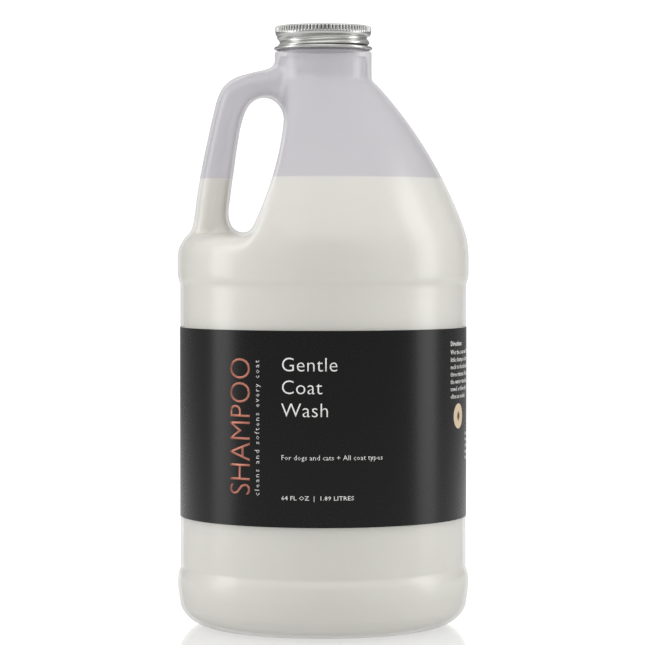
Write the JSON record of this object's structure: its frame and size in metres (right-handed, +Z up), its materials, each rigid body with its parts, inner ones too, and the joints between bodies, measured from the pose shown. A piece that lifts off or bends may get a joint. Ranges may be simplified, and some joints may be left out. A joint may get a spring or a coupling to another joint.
{
  "type": "shampoo bottle",
  "caption": "Round blow-moulded jug with a hollow side handle, wrap label, liquid fill and a lined screw cap that unscrews along its thread.",
  "frame": {"origin": "centre of the base's standing ring, on the ground", "axes": "+Z up along the bottle's own axis; the handle is on the -X side; the front of the label faces -Y"},
  "size_m": [0.1222, 0.1222, 0.2512],
  "materials": {
    "natural_hdpe": "satin",
    "label_film": "satin",
    "shampoo": "gloss",
    "cap_aluminium": "satin",
    "pulp_board": "matte",
    "liner_film": "satin"
  },
  "bodies": {
    "bottle": {"jug": "natural_hdpe", "label": "label_film", "liquid_fill": "shampoo"},
    "liner": {"liner_backing": "pulp_board", "liner_facing": "liner_film"},
    "cap": {"cap_shell": "cap_aluminium"}
  },
  "joints": [
    {"name": "cap_lift", "type": "slide", "parent": "bottle", "child": "liner", "axis": [0, 0, 1], "range_m": [0, 0.0127]},
    {"name": "cap_turn", "type": "hinge", "parent": "liner", "child": "cap", "pos_m": [0, 0, 0.2462], "axis": [0, 0, 1], "range_deg": [0, 1080]}
  ],
  "couplings": [
    {"joint": "cap_lift", "follows": "cap_turn", "m_per_rad": 0.00067376}
  ]
}
